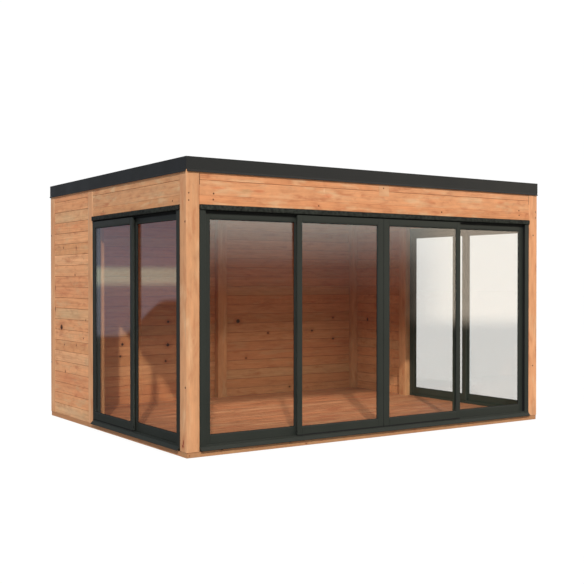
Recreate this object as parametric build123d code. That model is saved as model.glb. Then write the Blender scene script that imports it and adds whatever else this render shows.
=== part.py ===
from build123d import *
import os

os.makedirs("parts", exist_ok=True)

# ---------------------------------------------------------------------------
# Flat-roofed timber garden house, open on three sides with glazed sliding doors.
# Millimetres, +Z up, front faces -Y, origin on the ground at the middle of the box.
# ---------------------------------------------------------------------------

# overall
W = 4090.0            # over the corner posts, left to right
D = 3110.0            # over the corner posts, front to back
H = 2450.0            # ground to top of the roof edge

# timber
POST = 120.0          # square posts
BASE_H = 45.0         # base bearers
BASE_IN = 5.0         # bearers sit back from the post faces
BASE_W = 95.0
JOIST_W = 45.0
FLOOR_T = 22.0        # floorboards
FLOOR_TOP = BASE_H + FLOOR_T
BOARD_IN = 2.0        # wall boards sit all but flush with the post faces
BOARD_T = 44.0
FRIEZE_IN = 2.0       # boards over the doors
FRIEZE_T = 45.0
MID_Y0 = 1950.0       # side mid post, from the front face
MID_Y1 = MID_Y0 + POST
BACK_X0 = W / 2 - POST / 2
BACK_X1 = W / 2 + POST / 2

# roof
PLATE_Z0 = 2320.0
PLATE_Z1 = 2400.0
PLATE_T = 60.0
ROOF_JOIST_W = 45.0
DECK_T = 22.0
MEMBRANE_T = 6.0
CAP_W = 46.0          # raised roof edge
FASCIA_T = 4.0
FASCIA_Z0 = 2345.0
LIP_OUT = 14.0        # drip lip under the fascia
LIP_Z = 2326.0

# sliding doors, measured inwards from the post faces (minus is proud)
HEAD_Z0 = 2021.0
HEAD_Z1 = 2065.0
HEAD_OUT = 16.0
SILL_TOP = 88.0
SILL_OUT = 28.0
SILL_TIP = 50.0
FRAME_FACE = -3.0
FRAME_BACK = 54.0
COVER_W = 56.0        # jamb cover beside a leaf in the inner track
COVER_BACK = 24.0
JAMB_W = 40.0         # jamb behind the cover
THIN_JAMB = 15.0      # jamb beside a leaf in the outer track
JAMB_SPLIT = 0.5      # joint between the outer and inner jamb sections
LEAF_T = 21.0
TRACK = 33.0          # outer face to outer face of the two tracks
LEAF_Z0 = 100.0
LEAF_Z1 = 2013.0
GLASS_Z0 = 169.0
GLASS_Z1 = 1950.0
GLASS_IN = 7.5        # glass behind the leaf face
GLASS_T = 6.0
RIB_T = 6.0
GAP = 5.0             # running clearance
STILE_LOCK = 51.0     # passing stile, front leaf in the outer track
STILE_LOCK_IN = 60.0  # passing stile, front leaf in the inner track
STILE_MEET = 68.0     # stiles that meet in the middle of the front
STILE_SIDE = 68.0     # outer stiles of the front inner leaves
SIDE_STILE = 55.0     # the same on the side doors
SIDE_LOCK_OUT = 57.0  # passing stile of a side door, leaf in the outer track
SIDE_LOCK_IN = 60.0   # passing stile of a side door, leaf in the inner track
STILE_END = 40.0      # closing stile of a side sliding leaf

FRONT_LOCK = 1082.0   # left edge of the front left sliding leaf
FRONT_INNER_X0 = POST + JAMB_W + 5.0
FRONT_INNER_END = 1136.0
SIDE_LOCK = 1028.0    # front edge of the left sliding leaf
SIDE_INNER_END = 1074.0

FRONT_TRAVEL = 880.0
SIDE_TRAVEL = 830.0

# frame shift: the box runs from the front sill tip to the rear drip lip
CX = W / 2
CY = (D + LIP_OUT - SILL_OUT) / 2


def put(shape):
    return Pos(-CX, -CY, 0) * shape


def box(x0, x1, y0, y1, z0, z1):
    return Pos((x0 + x1) / 2, (y0 + y1) / 2, (z0 + z1) / 2) * Box(x1 - x0, y1 - y0, z1 - z0)


def prism_x(points, x0, x1):
    """Section given as (y, z), run along X."""
    face = Plane.YZ * make_face(Polyline(*points, close=True))
    return Pos(x0, 0, 0) * extrude(face, amount=x1 - x0, dir=(1, 0, 0))


def prism_y(points, y0, y1):
    """Section given as (x, z), run along Y."""
    face = Plane.XZ * make_face(Polyline(*points, close=True))
    return Pos(0, y0, 0) * extrude(face, amount=y1 - y0, dir=(0, 1, 0))


def mirror_x(shape):
    return mirror(shape, about=Plane.YZ.offset(W / 2))


def turn(shape):
    """The left door turned half round, which is the right door."""
    y = (POST + MID_Y0) / 2
    return Pos(W / 2, y, 0) * Rot(0, 0, 180) * Pos(-W / 2, -y, 0) * shape


nodes = {}


def add(name, *shapes):
    solids = [put(s) for shape in shapes for s in shape.solids()]
    nodes[name] = solids[0] if len(solids) == 1 else Compound(solids)


# ---------------------------------------------------------------- base, floor
b0, b1 = BASE_IN, BASE_IN + BASE_W
add("base_bearers_long",
    box(BASE_IN, W - BASE_IN, b0, b1, 0, BASE_H),
    box(BASE_IN, W - BASE_IN, D - b1, D - b0, 0, BASE_H))
add("base_bearers_short",
    box(b0, b1, b1, D - b1, 0, BASE_H),
    box(W - b1, W - b0, b1, D - b1, 0, BASE_H))

joist_x = [W / 2 + (i - 2.5) * 620.0 for i in range(6)]
add("floor_joists", *[box(x - JOIST_W / 2, x + JOIST_W / 2, b1, D - b1, 0, BASE_H)
                      for x in joist_x])

floor = box(FRAME_BACK, W - FRAME_BACK, FRAME_BACK, D - BOARD_IN - BOARD_T, BASE_H, FLOOR_TOP)
wall_in = BOARD_IN + BOARD_T
floor += box(wall_in, W - wall_in, MID_Y1, D - wall_in, BASE_H, FLOOR_TOP)
for x0, x1, y0, y1 in (
    (0, POST, 0, POST), (W - POST, W, 0, POST),
    (0, POST, D - POST, D), (W - POST, W, D - POST, D),
    (0, POST, MID_Y0, MID_Y1), (W - POST, W, MID_Y0, MID_Y1),
    (BACK_X0, BACK_X1, D - POST, D),
):
    floor -= box(x0, x1, y0, y1, 0, 200)
add("floor_deck", floor)

# ---------------------------------------------------------------------- posts
add("post_front_left", box(0, POST, 0, POST, BASE_H, PLATE_Z1))
add("post_front_right", box(W - POST, W, 0, POST, BASE_H, PLATE_Z1))
add("post_back_left", box(0, POST, D - POST, D, BASE_H, PLATE_Z1))
add("post_back_right", box(W - POST, W, D - POST, D, BASE_H, PLATE_Z1))
add("post_left_mid", box(0, POST, MID_Y0, MID_Y1, BASE_H, PLATE_Z0))
add("post_right_mid", box(W - POST, W, MID_Y0, MID_Y1, BASE_H, PLATE_Z0))
add("post_back_mid", box(BACK_X0, BACK_X1, D - POST, D, BASE_H, PLATE_Z0))

# ---------------------------------------------------------------- board walls
p0, p1 = BOARD_IN, BOARD_IN + BOARD_T
add("left_wall_panel", box(p0, p1, MID_Y1, D - POST, BASE_H, PLATE_Z0))
add("right_wall_panel", box(W - p1, W - p0, MID_Y1, D - POST, BASE_H, PLATE_Z0))
add("back_wall_panels",
    box(POST, BACK_X0, D - p1, D - p0, BASE_H, PLATE_Z0),
    box(BACK_X1, W - POST, D - p1, D - p0, BASE_H, PLATE_Z0))

f0, f1 = FRIEZE_IN, FRIEZE_IN + FRIEZE_T
add("front_frieze", box(POST, W - POST, f0, f1, HEAD_Z1, PLATE_Z0))
side_frieze = box(f0, f1, POST, MID_Y0, HEAD_Z1, PLATE_Z0)
add("side_friezes", side_frieze, mirror_x(side_frieze))

# ----------------------------------------------------------------------- roof
add("top_plates_long",
    box(POST, W - POST, 0, PLATE_T, PLATE_Z0, PLATE_Z1),
    box(POST, W - POST, D - PLATE_T, D, PLATE_Z0, PLATE_Z1))
add("top_plates_short",
    box(0, PLATE_T, POST, D - POST, PLATE_Z0, PLATE_Z1),
    box(W - PLATE_T, W, POST, D - POST, PLATE_Z0, PLATE_Z1))
add("roof_joists", *[box(x - ROOF_JOIST_W / 2, x + ROOF_JOIST_W / 2, PLATE_T, D - PLATE_T,
                         PLATE_Z0, PLATE_Z1) for x in joist_x])
deck_z = PLATE_Z1 + DECK_T
add("roof_deck", box(0, W, 0, D, PLATE_Z1, deck_z))
add("roof_membrane", box(CAP_W, W - CAP_W, CAP_W, D - CAP_W, deck_z, deck_z + MEMBRANE_T))

lip = [(0.0, FASCIA_Z0), (-FASCIA_T, FASCIA_Z0), (-LIP_OUT, LIP_Z + 4.0), (-LIP_OUT, LIP_Z),
       (-LIP_OUT + 3.5, LIP_Z), (0.0, FASCIA_Z0 - 4.0)]
front_fascia = (box(-FASCIA_T, W + FASCIA_T, -FASCIA_T, 0, FASCIA_Z0, H)
                + box(0, W, 0, CAP_W, deck_z, H)
                + prism_x(lip, 0, W))
add("fascia_front", front_fascia)
add("fascia_back", mirror(front_fascia, about=Plane.XZ.offset(-D / 2)))
left_fascia = (box(-FASCIA_T, 0, 0, D, FASCIA_Z0, H)
               + box(0, CAP_W, CAP_W, D - CAP_W, deck_z, H)
               + prism_y(lip, 0, D))
add("fascia_left", left_fascia)
add("fascia_right", mirror_x(left_fascia))

# -------------------------------------------------------------- sliding doors
r = 5.0
head_sec = [(FRAME_BACK, HEAD_Z0), (FRAME_BACK, HEAD_Z1), (-HEAD_OUT + r, HEAD_Z1),
            (-HEAD_OUT + r * 0.3, HEAD_Z1 - r * 0.3), (-HEAD_OUT, HEAD_Z1 - r),
            (-HEAD_OUT, HEAD_Z0 + r), (-HEAD_OUT + r * 0.3, HEAD_Z0 + r * 0.3),
            (-HEAD_OUT + r, HEAD_Z0)]
sill_sec = [(FRAME_BACK, BASE_H), (FRAME_BACK, SILL_TOP), (FRAME_FACE, SILL_TOP),
            (FRAME_FACE, SILL_TOP - 8.0), (-SILL_OUT, SILL_TIP + 5.0), (-SILL_OUT, SILL_TIP),
            (-SILL_OUT + 4.0, SILL_TIP), (0.0, SILL_TOP - 18.0), (0.0, BASE_H)]

outer_mid = FRAME_FACE + LEAF_T / 2
inner_mid = outer_mid + TRACK


def rib(mid):
    return mid - RIB_T / 2, mid + RIB_T / 2


# front: head, sill with its two tracks, jambs
o0, o1 = rib(outer_mid)
i0, i1 = rib(inner_mid)
add("front_door_head", prism_x(head_sec, POST, W - POST))
front_sill = (prism_x(sill_sec, POST, W - POST)
              + box(POST + COVER_W, W - POST - COVER_W, o0, o1, SILL_TOP, LEAF_Z0 - GAP)
              + box(POST + JAMB_W, W - POST - JAMB_W, i0, i1, SILL_TOP, LEAF_Z0))
add("front_door_sill", front_sill)


# each jamb is two profiles, so that the rebate a leaf closes into stays open
JAMB_BACK = COVER_BACK + JAMB_SPLIT


def jamb_front(x0):
    return (box(x0, x0 + COVER_W, FRAME_FACE, COVER_BACK, SILL_TOP, HEAD_Z0),
            box(x0, x0 + JAMB_W, JAMB_BACK, FRAME_BACK, SILL_TOP, HEAD_Z0))


jamb = jamb_front(POST)
add("front_door_jambs", *jamb, *[mirror_x(s) for s in jamb])

# sides: each jamb is thin beside its leaf and covers the empty end of the other track
side_head = prism_y(head_sec, POST, MID_Y0)
add("side_door_heads", side_head, turn(side_head))
side_sill = (prism_y(sill_sec, POST, MID_Y0)
             + box(o0, o1, POST + COVER_W, MID_Y0 - THIN_JAMB, SILL_TOP, LEAF_Z0 - GAP)
             + box(i0, i1, POST + JAMB_W, MID_Y0 - COVER_W, SILL_TOP, LEAF_Z0))
add("side_door_sills", side_sill, turn(side_sill))
side_jambs = [box(FRAME_FACE, COVER_BACK, POST, POST + COVER_W, SILL_TOP, HEAD_Z0),
              box(JAMB_BACK, FRAME_BACK, POST, POST + JAMB_W, SILL_TOP, HEAD_Z0),
              box(FRAME_FACE, COVER_BACK, MID_Y0 - THIN_JAMB, MID_Y0, SILL_TOP, HEAD_Z0),
              box(JAMB_BACK, FRAME_BACK, MID_Y0 - COVER_W, MID_Y0, SILL_TOP, HEAD_Z0)]
add("side_door_jambs", *side_jambs, *[turn(s) for s in side_jambs])


def leaf_x(x0, x1, s0, s1, face):
    """Leaf of a door that runs along X: left and right stile widths, outer face depth."""
    frame = (box(x0, x1, face, face + LEAF_T, LEAF_Z0, LEAF_Z1)
             - box(x0 + s0, x1 - s1, face, face + LEAF_T, GLASS_Z0, GLASS_Z1))
    glass = box(x0 + s0, x1 - s1, face + GLASS_IN, face + GLASS_IN + GLASS_T, GLASS_Z0, GLASS_Z1)
    return frame, glass


def leaf_y(y0, y1, s0, s1, face):
    frame = (box(face, face + LEAF_T, y0, y1, LEAF_Z0, LEAF_Z1)
             - box(face, face + LEAF_T, y0 + s0, y1 - s1, GLASS_Z0, GLASS_Z1))
    glass = box(face + GLASS_IN, face + GLASS_IN + GLASS_T, y0 + s0, y1 - s1, GLASS_Z0, GLASS_Z1)
    return frame, glass


outer, inner = FRAME_FACE, FRAME_FACE + TRACK

frame, glass = leaf_x(FRONT_INNER_X0, FRONT_INNER_END, STILE_SIDE, STILE_LOCK_IN, inner)
add("front_fixed_leaf_frames", frame, mirror_x(frame))
add("front_fixed_leaf_glass", glass, mirror_x(glass))

frame, glass = leaf_x(FRONT_LOCK, W / 2 - GAP / 2, STILE_LOCK, STILE_MEET, outer)
add("front_left_sliding_frame", frame)
add("front_left_sliding_glass", glass)
add("front_right_sliding_frame", mirror_x(frame))
add("front_right_sliding_glass", mirror_x(glass))

frame, glass = leaf_y(POST + JAMB_W + 5.0, SIDE_INNER_END, SIDE_STILE, SIDE_LOCK_IN, inner)
add("left_fixed_leaf_frame", frame)
add("left_fixed_leaf_glass", glass)
add("right_fixed_leaf_frame", turn(frame))
add("right_fixed_leaf_glass", turn(glass))

frame, glass = leaf_y(SIDE_LOCK, MID_Y0 - THIN_JAMB - GAP, SIDE_LOCK_OUT, STILE_END, outer)
add("left_sliding_frame", frame)
add("left_sliding_glass", glass)
add("right_sliding_frame", turn(frame))
add("right_sliding_glass", turn(glass))

# ---------------------------------------------------------------------- write
for name, shape in nodes.items():
    export_step(shape, f"parts/{name}.step")

total = 0.0
for name, shape in nodes.items():
    total += sum(s.volume for s in shape.solids())
print(len(nodes), "nodes, solid volume", round(total / 1e9, 4), "m3")
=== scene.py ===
import math
import random

import bmesh
import bpy
import numpy as np
from mathutils import Matrix, Vector


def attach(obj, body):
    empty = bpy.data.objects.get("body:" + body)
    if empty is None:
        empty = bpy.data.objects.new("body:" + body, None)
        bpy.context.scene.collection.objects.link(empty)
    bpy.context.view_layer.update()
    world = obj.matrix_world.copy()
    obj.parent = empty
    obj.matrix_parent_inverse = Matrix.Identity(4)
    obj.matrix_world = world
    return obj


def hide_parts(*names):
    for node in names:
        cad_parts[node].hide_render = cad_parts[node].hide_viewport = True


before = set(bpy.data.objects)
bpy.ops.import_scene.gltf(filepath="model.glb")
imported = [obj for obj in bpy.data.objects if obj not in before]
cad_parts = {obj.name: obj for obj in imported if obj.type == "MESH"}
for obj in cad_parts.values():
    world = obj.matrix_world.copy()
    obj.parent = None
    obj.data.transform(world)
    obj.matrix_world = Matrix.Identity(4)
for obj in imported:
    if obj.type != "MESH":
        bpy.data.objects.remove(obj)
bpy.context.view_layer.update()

# --------------------------------------------------------------------------
# Measures. Corner coordinates in millimetres: w from the left post face,
# d from the front post face, z from the ground. P() takes them to the frame.
# --------------------------------------------------------------------------
W, D, H = 4090.0, 3110.0, 2450.0
CX, CY = W / 2, (D + 14.0 - 28.0) / 2
POST = 120.0
MID0, MID1 = 1950.0, 2070.0
BACK0, BACK1 = W / 2 - 60.0, W / 2 + 60.0
BASE_H, FLOOR_TOP = 45.0, 67.0
PLATE_Z0, PLATE_Z1 = 2320.0, 2400.0
HEAD_Z0, HEAD_Z1 = 2021.0, 2065.0
LEAF_Z0, LEAF_Z1 = 100.0, 2013.0
GLASS_Z0, GLASS_Z1 = 169.0, 1950.0
OUTER, INNER = -3.0, 30.0
LEAF_T = 21.0
COVER = 111.0


def P(w, d, z):
    return ((w - CX) / 1000.0, (d - CY) / 1000.0, z / 1000.0)


# --------------------------------------------------------------------------
# Mesh building
# --------------------------------------------------------------------------
class Build:
    """Collects closed solids with a grain coordinate, a seed and a groove value per vertex."""

    def __init__(self):
        self.v, self.f, self.gc, self.seed, self.edge, self.m = [], [], [], [], [], []

    def add(self, verts, faces, gc=None, seed=0.0, edge=None, mat=0):
        n = len(self.v)
        self.v.extend(verts)
        self.f.extend([tuple(i + n for i in f) for f in faces])
        self.m.extend([mat] * len(faces))
        self.gc.extend(gc if gc is not None else verts)
        self.seed.extend([seed] * len(verts))
        self.edge.extend(edge if edge is not None else [0.0] * len(verts))

    def turn(self, keep=False):
        """Turns everything half round, from the left doorway to the right one. keep leaves the first copy too."""
        yc = 2.0 * ((POST + MID0) / 2 - CY) / 1000.0
        new = [(-x, yc - y, z) for x, y, z in self.v]
        if not keep:
            self.v = new
            return self
        n = len(self.v)
        self.v = self.v + new
        self.f = self.f + [tuple(i + n for i in f) for f in self.f]
        self.m, self.gc, self.seed, self.edge = self.m * 2, self.gc * 2, self.seed * 2, self.edge * 2
        return self

    def make(self, name, mats, body="house", slot=None, replaces=(), smooth=None):
        me = bpy.data.meshes.new(name)
        me.from_pydata(self.v, [], self.f)
        me.update()
        for m in mats if isinstance(mats, (list, tuple)) else [mats]:
            me.materials.append(m)
        me.polygons.foreach_set("material_index", self.m)
        a = me.attributes.new("gc", "FLOAT_VECTOR", "POINT")
        a.data.foreach_set("vector", np.array(self.gc, np.float32).ravel())
        a = me.attributes.new("seed", "FLOAT", "POINT")
        a.data.foreach_set("value", np.array(self.seed, np.float32))
        a = me.attributes.new("groove", "FLOAT", "POINT")
        a.data.foreach_set("value", np.array(self.edge, np.float32))
        bm = bmesh.new()
        bm.from_mesh(me)
        bmesh.ops.recalc_face_normals(bm, faces=bm.faces)
        bm.to_mesh(me)
        bm.free()
        if smooth is not None:
            me.polygons.foreach_set("use_smooth", [True] * len(me.polygons))
            me.set_sharp_from_angle(angle=math.radians(smooth))
        ob = bpy.data.objects.new(name, me)
        bpy.context.scene.collection.objects.link(ob)
        if replaces:
            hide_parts(*replaces)
        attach(ob, body)
        return ob


AX = {"x": (0, 1, 2), "y": (1, 0, 2), "z": (2, 0, 1)}  # run axis, then the section's two axes


def run(b, axis, a0, a1, section, seed=0.0, pith=(0.0, 0.0), off=0.0, groove=None, mat=0, grain=None, cuts=()):
    """A section of (p, q) points in mm run along an axis from a0 to a1 (mm, corner coordinates).
    Along x the section is (d, z), along y it is (w, z), and along z it is (w, d).
    cuts are extra stations along the run, each (position, shift p, shift q)."""
    i, j, k = AX[axis]
    stations = [(a0, 0.0, 0.0)] + [c for c in cuts] + [(a1, 0.0, 0.0)]
    n = len(section)
    verts, gc, edge = [], [], []
    cp = sum(p for p, _ in section) / n
    cq = sum(q for _, q in section) / n
    for s, sp, sq in stations:
        for t, (p, q) in enumerate(section):
            c = [0.0, 0.0, 0.0]
            c[i], c[j], c[k] = s, p + sp, q + sq
            verts.append(P(*c))
            gc.append(((s + off) / 1000.0, (p - cp - pith[0]) / 1000.0, (q - cq - pith[1]) / 1000.0))
            edge.append(groove[t] if groove else 0.0)
    faces = []
    for r in range(len(stations) - 1):
        for t in range(n):
            u = (t + 1) % n
            faces.append((r * n + t, r * n + u, (r + 1) * n + u, (r + 1) * n + t))
    faces.append(tuple(range(n)))
    faces.append(tuple((len(stations) - 1) * n + t for t in reversed(range(n))))
    b.add(verts, faces, gc, seed, edge, mat)


def rounded(p0, p1, q0, q1, r, seg=3):
    """Rectangle with rounded corners as section points."""
    out = []
    for cx, cy, a in ((p1 - r, q0 + r, -90), (p1 - r, q1 - r, 0), (p0 + r, q1 - r, 90), (p0 + r, q0 + r, 180)):
        for s in range(seg + 1):
            t = math.radians(a + 90.0 * s / seg)
            out.append((cx + r * math.cos(t), cy + r * math.sin(t)))
    return out


def timber(b, axis, a0, a1, p0, p1, q0, q1, rng, r=4.0, seg=3, boxed=True, mat=0, seed=None):
    """An eased timber with its own place in the log."""
    pith = (rng.uniform(-22, 22), rng.uniform(-22, 22)) if boxed else (rng.uniform(-40, 40), rng.uniform(25, 70))
    own = rng.random()
    run(b, axis, a0, a1, rounded(p0, p1, q0, q1, r, seg), seed=own if seed is None else seed, pith=pith,
        off=rng.uniform(0, 90000), mat=mat)


def board_section(t0, t1, q0, q1, c=2.0, gap=1.1, tongue=True, groove=True, top_c=None, low_c=None, ci=2.2):
    """Tongued and grooved board. t runs through the wall (outer face first), q is up the wall.
    c eases the outer edges and ci the inner ones. Returns (t, q) points and the groove value of each."""
    top_c = c if top_c is None else top_c
    low_c = c if low_c is None else low_c
    top_i, low_i = min(top_c, ci), min(low_c, ci)
    g = gap / 2
    tm = (t0 + t1) / 2
    s = 1.0 if t1 > t0 else -1.0
    pts, val = [], []

    def put(t, q, e):
        pts.append((t, q))
        val.append(e)

    lo = q0 + (g if groove else 0.0)
    hi = q1 - (g if tongue else 0.0)
    put(t0, lo + low_c, 0.0)
    put(t0, hi - top_c, 0.0)
    put(t0 + s * top_c, hi, 1.0)
    if tongue:
        put(tm - s * 4.0, hi, 1.0)
        put(tm - s * 3.5, q1 + 6.5, 1.0)
        put(tm + s * 3.5, q1 + 6.5, 1.0)
        put(tm + s * 4.0, hi, 1.0)
    put(t1 - s * top_i, hi, 1.0)
    put(t1, hi - top_i, 0.0)
    put(t1, lo + low_i, 0.0)
    put(t1 - s * low_i, lo, 1.0)
    if groove:
        put(tm + s * 4.6, lo, 1.0)
        put(tm + s * 4.2, q0 + 8.5, 1.0)
        put(tm - s * 4.2, q0 + 8.5, 1.0)
        put(tm - s * 4.6, lo, 1.0)
    put(t0 + s * low_c, lo, 1.0)
    return pts, val


def wall_board(b, axis, a0, a1, t0, t1, q0, q1, rng, **kw):
    """One board run along x or y, with its ends a hair short of what they meet."""
    kind = kw.pop("kind", None)
    sec, val = board_section(t0, t1, q0, q1, **kw)
    j = rng.uniform(0.4, 1.4)
    pith = (rng.choice((-1, 1)) * rng.uniform(18, 75), rng.uniform(-45, 45))
    seed = rng.random()
    if kind is not None:
        seed = (kind + 0.35 + 0.3 * seed) / 6.0
    run(b, axis, a0 + j, a1 - rng.uniform(0.4, 1.4), sec, seed=seed, pith=pith,
        off=rng.uniform(0, 90000), groove=val)


# --------------------------------------------------------------------------
# Node helpers
# --------------------------------------------------------------------------
class Nodes:
    def __init__(self, tree):
        self.t = tree
        self.t.nodes.clear()

    def n(self, kind, **kw):
        x = self.t.nodes.new(kind)
        for k, v in kw.items():
            setattr(x, k, v)
        return x

    def link(self, a, b):
        self.t.links.new(a, b)

    def val(self, sock, v):
        if hasattr(v, "links") or hasattr(v, "is_output"):
            self.link(v, sock)
        else:
            sock.default_value = v

    def math(self, op, a, b=0.5, c=None, clamp=False):
        x = self.n("ShaderNodeMath", operation=op, use_clamp=clamp)
        self.val(x.inputs[0], a)
        self.val(x.inputs[1], b)
        if c is not None:
            self.val(x.inputs[2], c)
        return x.outputs[0]

    def vec(self, op, a, b=None, scale=None):
        x = self.n("ShaderNodeVectorMath", operation=op)
        self.val(x.inputs[0], a)
        if b is not None:
            self.val(x.inputs[1], b)
        if scale is not None:
            self.val(x.inputs["Scale"], scale)
        return x.outputs["Value"] if op in ("LENGTH", "DOT_PRODUCT", "DISTANCE") else x.outputs["Vector"]

    def skew(self, v):
        """Turns a stretched coordinate off the faces, so that the noise's own lattice doesn't show."""
        x = self.n("ShaderNodeVectorRotate", rotation_type="EULER_XYZ")
        self.link(v, x.inputs["Vector"])
        x.inputs["Rotation"].default_value = (0.6, 0.5, 0.7)
        return x.outputs[0]

    def noise(self, v, scale=1.0, detail=2.0, rough=0.5, dist=0.0, color=False):
        x = self.n("ShaderNodeTexNoise")
        self.link(v, x.inputs["Vector"])
        x.inputs["Scale"].default_value = scale
        x.inputs["Detail"].default_value = detail
        x.inputs["Roughness"].default_value = rough
        x.inputs["Distortion"].default_value = dist
        return x.outputs["Color" if color else "Fac"]

    def ramp(self, fac, stops, interp="LINEAR"):
        x = self.n("ShaderNodeValToRGB")
        x.color_ramp.interpolation = interp
        e = x.color_ramp.elements
        while len(e) < len(stops):
            e.new(0.5)
        for s, (p, c) in zip(e, stops):
            s.position = p
            s.color = (*c, 1.0) if len(c) == 3 else c
        self.link(fac, x.inputs[0])
        return x.outputs[0]

    def map(self, v, a, b, c=0.0, d=1.0, smooth=False):
        x = self.n("ShaderNodeMapRange", interpolation_type="SMOOTHSTEP" if smooth else "LINEAR", clamp=True)
        self.val(x.inputs["Value"], v)
        for k, y in zip(("From Min", "From Max", "To Min", "To Max"), (a, b, c, d)):
            x.inputs[k].default_value = y
        return x.outputs[0]

    def mix(self, fac, a, b, mode="MIX"):
        x = self.n("ShaderNodeMix", data_type="RGBA", blend_type=mode)
        self.val(x.inputs[0], fac)
        for s, y in ((x.inputs[6], a), (x.inputs[7], b)):
            self.val(s, (*y, 1.0) if isinstance(y, tuple) and len(y) == 3 else y)
        return x.outputs[2]

    def attr(self, name, out):
        return self.n("ShaderNodeAttribute", attribute_name=name).outputs[out]

    def bump(self, height, strength, distance, normal=None):
        x = self.n("ShaderNodeBump")
        x.inputs["Strength"].default_value = strength
        x.inputs["Distance"].default_value = distance
        self.link(height, x.inputs["Height"])
        if normal is not None:
            self.link(normal, x.inputs["Normal"])
        return x.outputs["Normal"]


def new_mat(name):
    m = bpy.data.materials.new(name)
    m.use_nodes = True
    return m, Nodes(m.node_tree)


def srgb(r, g, b):
    f = lambda x: x / 12.92 if x <= 0.04045 else ((x + 0.055) / 1.055) ** 2.4
    return tuple(f(c / 255.0) for c in (r, g, b))


def scale3(c, k):
    return tuple(x * k for x in c)


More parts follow.
